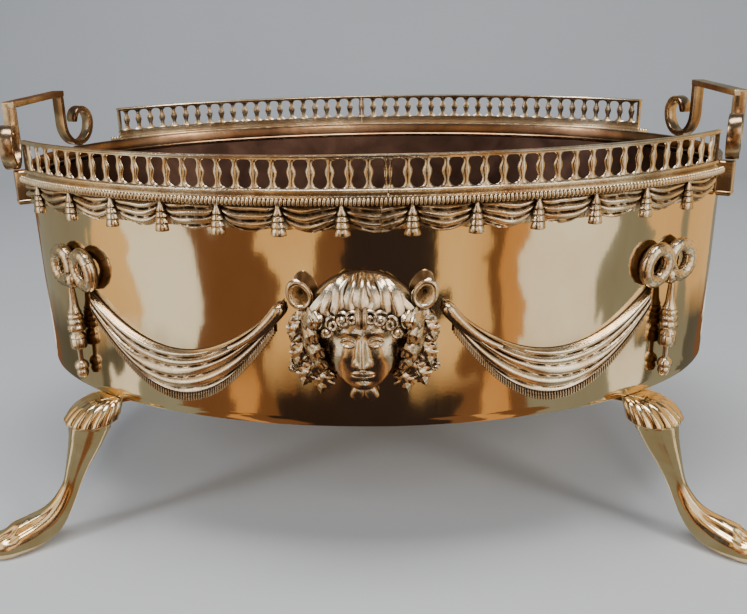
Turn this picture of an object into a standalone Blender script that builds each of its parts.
"""Oval brass planter pot with pierced galleries, cast drapery, scroll handles and paw feet.

Frame: metres, +Z up, +X along the long axis, -Y is the front. The origin is on the floor
under the middle of the pot. Sizes below are in millimetres, and MM turns them into metres.
"""

import math
from bisect import bisect

import bmesh
import bpy
from mathutils import Matrix, Vector

MM = 0.001
GAP = 0.3  # air between two pieces that touch

# The oval that everything follows, at the middle of the gallery strip
GALLERY_HALF_X = 244.0
GALLERY_HALF_Y = 162.0
OVAL_STEPS = 54

# Heights above the floor
BODY_BOTTOM = 91.0
WALL_TOP = 221.9
RIM_TOP = 224.0
GALLERY_BASE = 224.3
OPENING_BOTTOM = 229.0
OPENING_HEIGHT = 15.3
GALLERY_TOP = 246.5
BEAD_BOTTOM, BEAD_TOP = 220.0, 224.0
FRIEZE_BOTTOM = 204.5
COLLAR_BOTTOM = 211.0

# Sheet thicknesses
WALL_THICK = 1.6
COLLAR_THICK = 1.5
LINER_THICK = 1.2
BASE_THICK = 1.6
GALLERY_THICK = 1.8

# Half sizes of the wall's outer face at its top and bottom edges
WALL_TOP_HALF = (233.0, 151.0)
WALL_BOTTOM_HALF = (231.0, 156.0)

# Gallery
BALUSTER_PITCH = 10.0
BALUSTERS = 44
OPENING_WIDTH = 6.4
GALLERY_JOINT = 15.0  # distance of the joint from the middle, along the oval
GALLERY_SPARE = 2.0  # plain strip past the last baluster

# Frieze of small drapery with tassels
TASSEL_PITCH = 34.0
STEPS_PER_TASSEL = 4
FRIEZE_END = 229.0
SCALLOP = 4.0
# How far the frieze and the bead border stand off the gallery oval
FRIEZE_OUT = (0.5, -2.0, -6.5)
FRIEZE_BEND = 7.0  # height from the bead border to the frieze's bend
BEAD_OUT = (0.9, 2.6)
BEAD_BEVEL = 1.0

# Turned-in collar, its outer face from the gallery oval
COLLAR_OUT = -11.0

# Lift-out liner
LINER_TOP = 214.0
LINER_TOP_HALF = (225.5, 146.2)
LINER_FLOOR_HALF = (205.0, 125.0)
LINER_BOTTOM = BODY_BOTTOM + GAP + BASE_THICK + GAP

# Handles
BAR = 8.5
GRIP_X = 231.0
GRIP_TOP = 264.5
STEM_Y = 41.0
SCROLL_TURN = math.radians(20)
SCROLL_WIDTH = 7.4
SCROLL_THINNER = 0.4  # than the bar
STEM_SET_DOWN = 0.5  # from the top of the grip
SCROLL_TIP_TURNS = (-0.8, -math.pi / 2, -2.3)
SCROLL_LOW = (13.9, 12.0, 13.9)  # centre from the stem, centre height over the openings, radius
SCROLL_HIGH = (18.3, 12.0, 9.5)
SCROLL_STEPS = 8
BRACKET = (9.0, 21.5, 9.0)
BRACKET_X, BRACKET_TOP = 218.5, 222.9

# Cast ornaments on the wall
MASK_Z = 151.0
MASK_HALF = (38.0, 36.0, 24.0)
# Half sizes of an ear and a tip of the beard, and their places on the mask
EAR_HALF, EAR_AT = (10, 12, 8), (28, 22, 6)
BEARD_HALF, BEARD_AT = (5, 9, 6), (7, -33, 6)
SWAG_X = (42.0, 167.0)
SWAG_END_Z = (170.0, 159.5)
SWAG_SAG = (32.0, 53.5)  # upper edge, lower edge
SWAG_END_WIDTH = 9.0
SWAG_THICK = 6.0
BOW_X, BOW_Z = 174.0, 173.5
BOW_RING = (8.6, 3.8)  # radius of the ring, radius of its ribbon
BOW_SPREAD = 3.0  # from the middle to each ring's inner edge line
KNOT_HALF, KNOT_AT = (6, 6, 6), (0, -3, 3)
PENDANT_X, PENDANT_TOP, PENDANT_OUTSET = 177.0, 160.5, 6.4
PENDANT_PROFILE = (
    (0, 0),
    (2.2, -1),
    (2.2, -15),
    (5.4, -19),
    (5.6, -27),
    (3.6, -29),
    (5.6, -32),
    (5.2, -39),
    (2.4, -41),
    (2.4, -49),
    (5.0, -52),
    (4.6, -57),
    (0, -60),
)

# Legs: reach from the knee, height, half width, half depth
KNEE_AT = (173.0, 114.0)
LEG_TURN = math.radians(30)
LEG_SECTIONS = (
    (-1, 96, 17.5, 15.0),
    (0, 86, 17.5, 15.5),
    (3, 76, 14.5, 13.5),
    (8, 63, 11.0, 11.0),
    (14, 49, 7.4, 8.0),
    (19, 36, 5.2, 6.2),
    (28, 21, 7.4, 8.0),
    (41, 10, 10.5, 11.5),
    (54, 6, 12.5, 12.0),
    (67, 3, 11.5, 10.0),
    (74, 1, 6.0, 5.0),
)
LEG_SIDES = 8
TONGUE = (34.0, 14.0, 5.0)
SCREW_INSET = 24.0
SCREW_RADIUS, SCREW_BORE = 2.5, 2.8
SCREW_HEAD = (4.5, 3.0)  # radius, height
SCREW_DEPTH = 7.0
SCREW_DOME = (0.6, 0.9, 0.4)  # shares of the head's radius and height
BORE_DEEP = 30.0
TONGUE_START = 4.0  # from the knee towards the middle
CUTTER_DEEP = 60.0

BRASS_SHEET = ("brass_sheet", (0.83, 0.60, 0.27), 0.16)
BRASS_CAST = ("brass_cast", (0.80, 0.66, 0.43), 0.30)
BRASS_AGED = ("brass_aged", (0.42, 0.30, 0.17), 0.34)
LINER_METAL = ("liner_copper", (0.30, 0.18, 0.13), 0.48)
STEEL = ("screw_steel", (0.45, 0.45, 0.46), 0.40)


def new_collection(name):
    made = bpy.data.collections.new(name)
    bpy.context.scene.collection.children.link(made)
    return made


def material_for(node, finish):
    """The node's own Principled material."""
    kind, colour, roughness = finish
    made = bpy.data.materials.new(f"{node}_{kind}")
    made.use_nodes = True
    shader = made.node_tree.nodes["Principled BSDF"]
    shader.inputs["Base Color"].default_value = (*colour, 1.0)
    shader.inputs["Roughness"].default_value = roughness
    shader.inputs["Metallic"].default_value = 1.0
    made.diffuse_color = (*colour, 1.0)
    return made


def add_part(name, mesh, finish, sharp=35):
    """A named sub-part with its own material, shaded smooth below the sharp angle."""
    part = bpy.data.objects.new(name, mesh)
    mesh.materials.append(material_for(name, finish))
    mesh.shade_smooth()
    mesh.set_sharp_from_angle(angle=math.radians(sharp))
    parts.objects.link(part)
    part.parent = pot
    return part


def add_cutter(name, mesh):
    """A shape that only cuts or joins others."""
    cutter = bpy.data.objects.new(name, mesh)
    cutter.hide_render = True
    cutter.display_type = "WIRE"
    cutters.objects.link(cutter)
    return cutter


def combine(part, other, operation):
    step = part.modifiers.new(f"{operation.lower()}_{other.name}", "BOOLEAN")
    step.operation = operation
    step.solver = "EXACT"
    step.object = other


def finished_mesh(name, bm):
    """The bmesh in metres, welded and facing outwards."""
    bmesh.ops.remove_doubles(bm, verts=bm.verts, dist=0.01)
    bmesh.ops.recalc_face_normals(bm, faces=bm.faces)
    bmesh.ops.scale(bm, vec=(MM, MM, MM), verts=bm.verts)
    mesh = bpy.data.meshes.new(name)
    bm.to_mesh(mesh)
    bm.free()
    return mesh


def rim(offset, z):
    """A point of a section that follows the gallery oval, offset outwards."""
    return (GALLERY_HALF_X + offset, GALLERY_HALF_Y + offset, z)


def wall(z, outset):
    """A point of a section that follows the wall's outer face at a height."""
    share = (WALL_TOP - z) / (WALL_TOP - BODY_BOTTOM)
    halves = [top + (low - top) * share for top, low in zip(WALL_TOP_HALF, WALL_BOTTOM_HALF)]
    return (halves[0] + outset, halves[1] + outset, z)


def oval_loft(name, turns, section, ring=False, whole=True):
    """Carries a section of (half_x, half_y, z) points round the oval.

    A ring section is closed on itself; otherwise its first and last points are discs.
    A part of the oval gets end caps. The section may be a function of the place along it.
    """
    bm = bmesh.new()
    rows = []
    for index, turn in enumerate(turns):
        points = section(index) if callable(section) else section
        rows.append([bm.verts.new((a * math.cos(turn), b * math.sin(turn), z)) for a, b, z in points])
    count = len(rows[0])
    spans = count if ring else count - 1
    for here in range(len(rows) if whole else len(rows) - 1):
        low, high = rows[here], rows[(here + 1) % len(rows)]
        for k in range(spans):
            bm.faces.new((low[k], high[k], high[(k + 1) % count], low[(k + 1) % count]))
    if not ring:
        bm.faces.new([row[0] for row in rows])
        bm.faces.new([row[-1] for row in rows])
    if not whole:
        bm.faces.new(rows[0])
        bm.faces.new(rows[-1])
    return finished_mesh(name, bm)


def whole_turns():
    return [2 * math.pi * k / OVAL_STEPS for k in range(OVAL_STEPS)]


def turn_table():
    """Distances along the gallery oval from the middle of the front, and their turns."""
    fine = 2000
    distances, turns = [0.0], [-math.pi / 2]
    for k in range(fine):
        turn = turns[-1] + math.pi / fine
        middle = turn - math.pi / fine / 2
        speed = math.hypot(GALLERY_HALF_X * math.sin(middle), GALLERY_HALF_Y * math.cos(middle))
        distances.append(distances[-1] + speed * math.pi / fine)
        turns.append(turn)
    return distances, turns


def turn_at(distance):
    """The oval's turn at a distance from the middle of the front, positive towards +X."""
    distances, turns = TURN_TABLE
    k = min(bisect(distances, abs(distance)), len(distances) - 1)
    share = (abs(distance) - distances[k - 1]) / (distances[k] - distances[k - 1])
    turn = turns[k - 1] + share * (turns[k] - turns[k - 1])
    return turn if distance >= 0 else -math.pi - turn


def side_turn(turn, side):
    """The same place on the front (-1) or mirrored to the back (+1)."""
    return turn if side < 0 else -turn


def wall_frame(x, side, z, outset=0.0):
    """Place on the wall's face: x to the right seen from outside, y along +Z, z outwards."""
    half_x, half_y, _ = wall(z, 0.0)
    y = half_y * math.sqrt(1 - (x / half_x) ** 2) * side
    out = Vector((x / half_x**2, y / half_y**2, 0)).normalized()
    up = Vector((0, 0, 1))
    across = up.cross(out)
    at = Vector((x, y, z)) + out * outset
    frame = Matrix((across, up, out)).transposed().to_4x4()
    return Matrix.Translation(at * MM) @ frame


def primitive(make, **sizes):
    """A mesh from one bmesh primitive, sized in millimetres."""
    bm = bmesh.new()
    make(bm, **sizes)
    return bm


def box_mesh(name, size, centre=(0, 0, 0)):
    bm = primitive(bmesh.ops.create_cube, size=1.0)
    bmesh.ops.scale(bm, vec=size, verts=bm.verts)
    bmesh.ops.translate(bm, vec=centre, verts=bm.verts)
    return finished_mesh(name, bm)


def ball_mesh(name, halves, centre=(0, 0, 0), segments=14, rings=8):
    bm = primitive(bmesh.ops.create_uvsphere, u_segments=segments, v_segments=rings, radius=1.0)
    bmesh.ops.scale(bm, vec=halves, verts=bm.verts)
    bmesh.ops.translate(bm, vec=centre, verts=bm.verts)
    return finished_mesh(name, bm)


def cylinder_mesh(name, radius, height):
    bm = primitive(
        bmesh.ops.create_cone, cap_ends=True, segments=12, radius1=radius, radius2=radius, depth=height
    )
    return finished_mesh(name, bm)


def flat_plate(name, outline, thickness):
    """A flat outline in the XY plane, extruded evenly to both sides, as a welded mesh."""
    curve = bpy.data.curves.new(f"{name}_outline", "CURVE")
    curve.dimensions = "2D"
    curve.fill_mode = "BOTH"
    curve.extrude = thickness / 2 * MM
    spline = curve.splines.new("POLY")
    spline.points.add(len(outline) - 1)
    for point, (x, y) in zip(spline.points, outline):
        point.co = (x * MM, y * MM, 0, 1)
    spline.use_cyclic_u = True
    carrier = bpy.data.objects.new(f"{name}_carrier", curve)
    cutters.objects.link(carrier)
    bpy.context.view_layer.update()
    mesh = bpy.data.meshes.new_from_object(carrier.evaluated_get(bpy.context.evaluated_depsgraph_get()))
    mesh.name = name
    bpy.data.objects.remove(carrier)
    bm = bmesh.new()
    bm.from_mesh(mesh)
    bmesh.ops.remove_doubles(bm, verts=bm.verts, dist=0.01 * MM)
    bmesh.ops.recalc_face_normals(bm, faces=bm.faces)
    bm.to_mesh(mesh)
    bm.free()
    return mesh


def make_body():
    """Sheet-metal wall, soldered base, turned-in collar and the liner that lifts out."""
    turns = whole_turns()
    outside = [wall(WALL_TOP, 0), wall(BODY_BOTTOM, 0)]
    wall_ring = outside + [wall(BODY_BOTTOM, -WALL_THICK), wall(WALL_TOP, -WALL_THICK)]
    add_part("body_wall", oval_loft("body_wall", turns, wall_ring, ring=True), BRASS_SHEET)

    base_low = BODY_BOTTOM + GAP
    inset = -WALL_THICK - GAP
    discs = [wall(base_low, inset)[:2] + (base_low,), wall(base_low, inset)[:2] + (base_low + BASE_THICK,)]
    base = add_part("base_plate", oval_loft("base_plate", turns, discs), BRASS_SHEET)

    inner, outer = COLLAR_OUT - WALL_THICK - GAP, COLLAR_OUT
    collar = [
        rim(outer, RIM_TOP),
        rim(outer, RIM_TOP - COLLAR_THICK),
        rim(inner, RIM_TOP - COLLAR_THICK),
        rim(inner, COLLAR_BOTTOM),
        rim(inner - COLLAR_THICK, COLLAR_BOTTOM),
        rim(inner - COLLAR_THICK, RIM_TOP),
    ]
    add_part("rim_collar", oval_loft("rim_collar", turns, collar, ring=True), BRASS_AGED)

    tub = [
        (*LINER_FLOOR_HALF, LINER_BOTTOM),
        (*LINER_TOP_HALF, LINER_TOP),
        (LINER_TOP_HALF[0] - LINER_THICK, LINER_TOP_HALF[1] - LINER_THICK, LINER_TOP),
        (LINER_FLOOR_HALF[0] - LINER_THICK, LINER_FLOOR_HALF[1] - LINER_THICK, LINER_BOTTOM + LINER_THICK),
    ]
    add_part("liner", oval_loft("liner", turns, tub), LINER_METAL)
    return base


def strip_turns(start, end, side, steps):
    distances = [start + (end - start) * k / steps for k in range(steps + 1)]
    return [side_turn(turn_at(distance), side) for distance in distances]


def make_gallery(name, start, end, side):
    """One pierced strip of the gallery, between two distances along the oval."""
    half = GALLERY_THICK / 2
    outside = [rim(half, GALLERY_TOP), rim(half, GALLERY_BASE)]
    section = outside + [rim(-half, GALLERY_BASE), rim(-half, GALLERY_TOP)]
    steps = round((end - start) / BALUSTER_PITCH)
    strip = oval_loft(name, strip_turns(start, end, side, steps), section, ring=True, whole=False)
    gallery = add_part(name, strip, BRASS_CAST)

    bm = bmesh.new()
    first = -BALUSTERS / 2 * BALUSTER_PITCH
    for k in range(1, BALUSTERS):
        distance = first + k * BALUSTER_PITCH
        if not start + OPENING_WIDTH / 2 < distance < end - OPENING_WIDTH / 2:
            continue
        turn = side_turn(turn_at(distance), side)
        x, y = GALLERY_HALF_X * math.cos(turn), GALLERY_HALF_Y * math.sin(turn)
        facing = math.atan2(y / GALLERY_HALF_Y**2, x / GALLERY_HALF_X**2)
        place = Matrix.Translation((x, y, OPENING_BOTTOM + OPENING_HEIGHT / 2))
        size = Matrix.Diagonal((4 * GALLERY_THICK, OPENING_WIDTH, OPENING_HEIGHT, 1))
        bmesh.ops.create_cube(bm, size=1.0, matrix=place @ Matrix.Rotation(facing, 4, "Z") @ size)
    combine(gallery, add_cutter(f"{name}_openings", finished_mesh(f"{name}_openings", bm)), "DIFFERENCE")


def frieze_steps(length):
    return math.ceil(length / TASSEL_PITCH * STEPS_PER_TASSEL)


def make_frieze(name, start, end, side):
    """One cast strip of small drapery, its lower edge scalloped between the tassels."""
    steps = frieze_steps(end - start)
    distances = [start + (end - start) * k / steps for k in range(steps + 1)]

    def section(index):
        phase = 2 * math.pi * distances[index] / TASSEL_PITCH
        low = FRIEZE_BOTTOM + SCALLOP * (1 + math.cos(phase)) / 2
        return [
            rim(FRIEZE_OUT[0], RIM_TOP),
            rim(FRIEZE_OUT[0], BEAD_BOTTOM - GAP),
            rim(FRIEZE_OUT[1], BEAD_BOTTOM - FRIEZE_BEND),
            rim(FRIEZE_OUT[2], low),
            wall(low, 2.5 * GAP),
            wall(RIM_TOP, 2.5 * GAP),
        ]

    turns = strip_turns(start, end, side, steps)
    add_part(name, oval_loft(name, turns, section, ring=True, whole=False), BRASS_CAST)


def make_rim_strips():
    """Galleries, friezes and bead borders, front and back, each in two lengths."""
    gallery_end = BALUSTERS / 2 * BALUSTER_PITCH + GALLERY_SPARE
    for side, word in ((-1, "front"), (1, "back")):
        joint = GALLERY_JOINT if side < 0 else -GALLERY_JOINT
        make_gallery(f"gallery_{word}_left", -gallery_end, joint - GAP / 2, side)
        make_gallery(f"gallery_{word}_right", joint + GAP / 2, gallery_end, side)
        make_frieze(f"frieze_{word}_left", -FRIEZE_END, -GAP / 2, side)
        make_frieze(f"frieze_{word}_right", GAP / 2, FRIEZE_END, side)
        back, face = BEAD_OUT
        bead = [
            rim(back, BEAD_TOP),
            rim(face, BEAD_TOP - BEAD_BEVEL),
            rim(face, BEAD_BOTTOM + BEAD_BEVEL),
            rim(back, BEAD_BOTTOM),
        ]
        turns = strip_turns(-FRIEZE_END, FRIEZE_END, side, frieze_steps(FRIEZE_END))
        name = f"bead_border_{word}"
        add_part(name, oval_loft(name, turns, bead, ring=True, whole=False), BRASS_CAST)


def scroll_outline():
    """Outline of a handle's scroll: a straight stem that curls up into a smaller turn."""
    down = -math.pi / 2
    centre, height, radius = SCROLL_LOW
    path = [(centre - radius, GRIP_TOP - OPENING_BOTTOM - STEM_SET_DOWN, down), (centre - radius, height, down)]
    for (centre, height, radius), first in ((SCROLL_LOW, math.pi), (SCROLL_HIGH, 0.0)):
        for k in range(1, SCROLL_STEPS + 1):
            angle = first + math.pi * k / SCROLL_STEPS
            path.append((centre + radius * math.cos(angle), height + radius * math.sin(angle), angle - down))
    half = SCROLL_WIDTH / 2
    left = [(x - half * math.sin(heading), z + half * math.cos(heading)) for x, z, heading in path]
    right = [(x + half * math.sin(heading), z - half * math.cos(heading)) for x, z, heading in path]
    tip_x, tip_z, _ = path[-1]
    tip = [(tip_x + half * math.cos(turn), tip_z + half * math.sin(turn)) for turn in SCROLL_TIP_TURNS]
    return left + tip + right[::-1]


def make_handles():
    """A square bar at each end, with a scroll at each end of its grip, on four brackets."""
    outline = scroll_outline()
    for end, word in ((-1, "left"), (1, "right")):
        grip_size = (BAR, 2 * STEM_Y + BAR, BAR)
        grip = box_mesh(f"handle_{word}", grip_size, (end * GRIP_X, 0, GRIP_TOP - BAR / 2))
        handle = add_part(f"handle_{word}", grip, BRASS_AGED)
        for side, place in ((-1, "front"), (1, "back")):
            along = Vector((-end * math.sin(SCROLL_TURN), side * math.cos(SCROLL_TURN), 0))
            up = Vector((0, 0, 1))
            turn = Matrix((along, up, along.cross(up))).transposed().to_4x4()
            at = Vector((end * GRIP_X, side * STEM_Y, OPENING_BOTTOM)) * MM
            name = f"scroll_{word}_{place}"
            scroll = add_cutter(name, flat_plate(name, outline, BAR - SCROLL_THINNER))
            scroll.matrix_world = Matrix.Translation(at) @ turn
            combine(handle, scroll, "UNION")

            name = f"handle_bracket_{place}_{word}"
            bracket = add_part(name, box_mesh(name, BRACKET), BRASS_AGED)
            middle = BRACKET_TOP - BRACKET[1] / 2
            bracket.matrix_world = wall_frame(end * BRACKET_X, side, middle, BRACKET[2] / 2 + 2 * GAP)


def make_mask(name, side):
    """Boss of the head on one face, with ears and the tips of the beard, cut to the wall."""
    mask = add_part(name, ball_mesh(name, MASK_HALF), BRASS_CAST)
    mask.matrix_world = wall_frame(0, side, MASK_Z)
    for across in (-1, 1):
        for word, halves, centre in (
            ("ear", EAR_HALF, (EAR_AT[0] * across, *EAR_AT[1:])),
            ("beard", BEARD_HALF, (BEARD_AT[0] * across, *BEARD_AT[1:])),
        ):
            other = f"{name}_{word}_{'left' if across < 0 else 'right'}"
            extra = add_cutter(other, ball_mesh(other, halves, centre, segments=8, rings=6))
            extra.matrix_world = mask.matrix_world
            combine(mask, extra, "UNION")
    combine(mask, wall_cutter, "DIFFERENCE")


def make_swag(name, end, side):
    """Hanging drapery as a curved sheet that follows the wall, thickened outwards."""
    bm = primitive(bmesh.ops.create_grid, x_segments=12, y_segments=3, size=0.5)
    outset = 2 * GAP + SWAG_THICK / 2
    for vert in bm.verts:
        along, height = vert.co.x + 0.5, vert.co.y + 0.5
        bow = 4 * along * (1 - along)
        ends = SWAG_END_Z[0] + (SWAG_END_Z[1] - SWAG_END_Z[0]) * along
        upper = ends - SWAG_SAG[0] * bow
        lower = ends - SWAG_END_WIDTH - SWAG_SAG[1] * bow
        x = SWAG_X[0] + (SWAG_X[1] - SWAG_X[0]) * along
        place = wall_frame(end * x, side, lower + (upper - lower) * height, outset)
        vert.co = place.translation / MM
    swag = add_part(name, finished_mesh(name, bm), BRASS_CAST)
    shell = swag.modifiers.new("thickness", "SOLIDIFY")
    shell.thickness = SWAG_THICK * MM
    shell.offset = 0.0


def torus_mesh(name, major, minor):
    bpy.ops.mesh.primitive_torus_add(
        major_radius=major * MM, minor_radius=minor * MM, major_segments=10, minor_segments=6
    )
    carrier = bpy.context.object
    mesh = carrier.data
    mesh.name = name
    bpy.data.objects.remove(carrier)
    return mesh


def make_bow(name, end, side):
    """Two ribbon rings side by side with a knot between them."""
    place = wall_frame(end * BOW_X, side, BOW_Z, BOW_RING[1] + 2 * GAP)
    bow = add_part(name, ball_mesh(name, KNOT_HALF, KNOT_AT, segments=8, rings=6), BRASS_CAST)
    bow.matrix_world = place
    for across in (-1, 1):
        other = f"{name}_ring_{'left' if across < 0 else 'right'}"
        ring = add_cutter(other, torus_mesh(other, *BOW_RING))
        ring.matrix_world = place @ Matrix.Translation((across * (BOW_RING[0] + BOW_SPREAD) * MM, 0, 0))
        combine(bow, ring, "UNION")
    combine(bow, wall_cutter, "DIFFERENCE")


def turned_part(name, profile, steps, finish):
    """A turned piece from (radius, height) points listed from top to bottom."""
    bm = bmesh.new()
    points = [bm.verts.new((radius * MM, 0, height * MM)) for radius, height in profile]
    for upper, lower in zip(points, points[1:]):
        bm.edges.new((upper, lower))
    mesh = bpy.data.meshes.new(name)
    bm.to_mesh(mesh)
    bm.free()
    part = add_part(name, mesh, finish)
    lathe = part.modifiers.new("turn", "SCREW")
    lathe.steps = lathe.render_steps = steps
    lathe.use_merge_vertices = True
    lathe.merge_threshold = 0.00001
    return part


def make_ornaments():
    """Masks, swags, bows and pendant tassels on the front and the back."""
    for side, word in ((-1, "front"), (1, "back")):
        make_mask(f"mask_{word}", side)
        for end, hand in ((-1, "left"), (1, "right")):
            make_swag(f"swag_{word}_{hand}", end, side)
            make_bow(f"bow_{word}_{hand}", end, side)
            pendant = turned_part(f"pendant_{word}_{hand}", PENDANT_PROFILE, 10, BRASS_CAST)
            hang = wall_frame(end * PENDANT_X, side, PENDANT_TOP, PENDANT_OUTSET)
            pendant.location = hang.translation


def leg_mesh():
    """Cage of a leg: rings of eight points square to the line from the knee to the toes."""
    bm = bmesh.new()
    rows = []
    for k, (reach, z, half_width, half_depth) in enumerate(LEG_SECTIONS):
        before, after = LEG_SECTIONS[max(k - 1, 0)], LEG_SECTIONS[min(k + 1, len(LEG_SECTIONS) - 1)]
        along = Vector((after[0] - before[0], 0, after[1] - before[1])).normalized()
        across = Vector((0, 1, 0))
        normal = along.cross(across)
        row = []
        for corner in range(LEG_SIDES):
            turn = 2 * math.pi * corner / LEG_SIDES
            spread = across * half_width * math.cos(turn) + normal * half_depth * math.sin(turn)
            row.append(bm.verts.new(Vector((reach, 0, z)) + spread))
        rows.append(row)
    for low, high in zip(rows, rows[1:]):
        for k in range(LEG_SIDES):
            bm.faces.new((low[k], low[(k + 1) % LEG_SIDES], high[(k + 1) % LEG_SIDES], high[k]))
    bm.faces.new(rows[0])
    bm.faces.new(rows[-1])
    return finished_mesh("leg", bm)


def make_legs(base):
    """Four legs with a tongue under the base, each held by a screw from inside."""
    reach = 2 * (GALLERY_HALF_X + GALLERY_HALF_Y)
    floor_mesh = box_mesh("below_floor", (reach, reach, CUTTER_DEEP), (0, 0, -CUTTER_DEEP / 2))
    floor = add_cutter("below_floor", floor_mesh)
    seat = BODY_BOTTOM - GAP
    above_mesh = box_mesh("above_legs", (reach, reach, CUTTER_DEEP), (0, 0, seat + CUTTER_DEEP / 2))
    above = add_cutter("above_legs", above_mesh)
    tongue_mesh = box_mesh("leg_tongue", TONGUE, (-TONGUE[0] / 2 - TONGUE_START, 0, seat - TONGUE[2] / 2))
    head_radius, head_height = SCREW_HEAD
    screw_profile = (
        (0, head_height),
        (head_radius * SCREW_DOME[0], head_height * SCREW_DOME[1]),
        (head_radius, head_height * SCREW_DOME[2]),
        (head_radius, 0),
        (SCREW_RADIUS, 0),
        (SCREW_RADIUS, -SCREW_DEPTH),
        (0, -SCREW_DEPTH),
    )
    for side, word in ((-1, "front"), (1, "back")):
        for end, hand in ((-1, "left"), (1, "right")):
            heading = math.atan2(side * math.sin(LEG_TURN), end * math.cos(LEG_TURN))
            knee = Matrix.Translation((end * KNEE_AT[0] * MM, side * KNEE_AT[1] * MM, 0))
            place = knee @ Matrix.Rotation(heading, 4, "Z")

            leg = add_part(f"leg_{word}_{hand}", leg_mesh(), BRASS_SHEET)
            leg.matrix_world = place
            smooth = leg.modifiers.new("smooth", "SUBSURF")
            smooth.levels = smooth.render_levels = 1
            tongue = add_cutter(f"leg_tongue_{word}_{hand}", tongue_mesh)
            tongue.matrix_world = place
            bore_mesh = cylinder_mesh(f"screw_bore_{word}_{hand}", SCREW_BORE, BORE_DEEP)
            bore = add_cutter(f"screw_bore_{word}_{hand}", bore_mesh)
            bore.matrix_world = place @ Matrix.Translation((-SCREW_INSET * MM, 0, BODY_BOTTOM * MM))
            combine(leg, floor, "DIFFERENCE")
            combine(leg, above, "DIFFERENCE")
            combine(leg, tongue, "UNION")
            combine(leg, bore, "DIFFERENCE")
            combine(base, bore, "DIFFERENCE")

            screw = turned_part(f"leg_screw_{word}_{hand}", screw_profile, 12, STEEL)
            head_seat = (BODY_BOTTOM + GAP + BASE_THICK + GAP) * MM
            screw.matrix_world = place @ Matrix.Translation((-SCREW_INSET * MM, 0, head_seat))


for old in list(bpy.data.objects):
    bpy.data.objects.remove(old)

parts = new_collection("oval_planter_pot")
cutters = new_collection("cutters")
pot = bpy.data.objects.new("pot_centre", None)
parts.objects.link(pot)
TURN_TABLE = turn_table()
wall_solid = [wall(WALL_TOP, GAP), wall(BODY_BOTTOM, GAP)]
wall_cutter = add_cutter("inside_of_wall", oval_loft("inside_of_wall", whole_turns(), wall_solid))

base_plate = make_body()
make_rim_strips()
make_handles()
make_ornaments()
make_legs(base_plate)
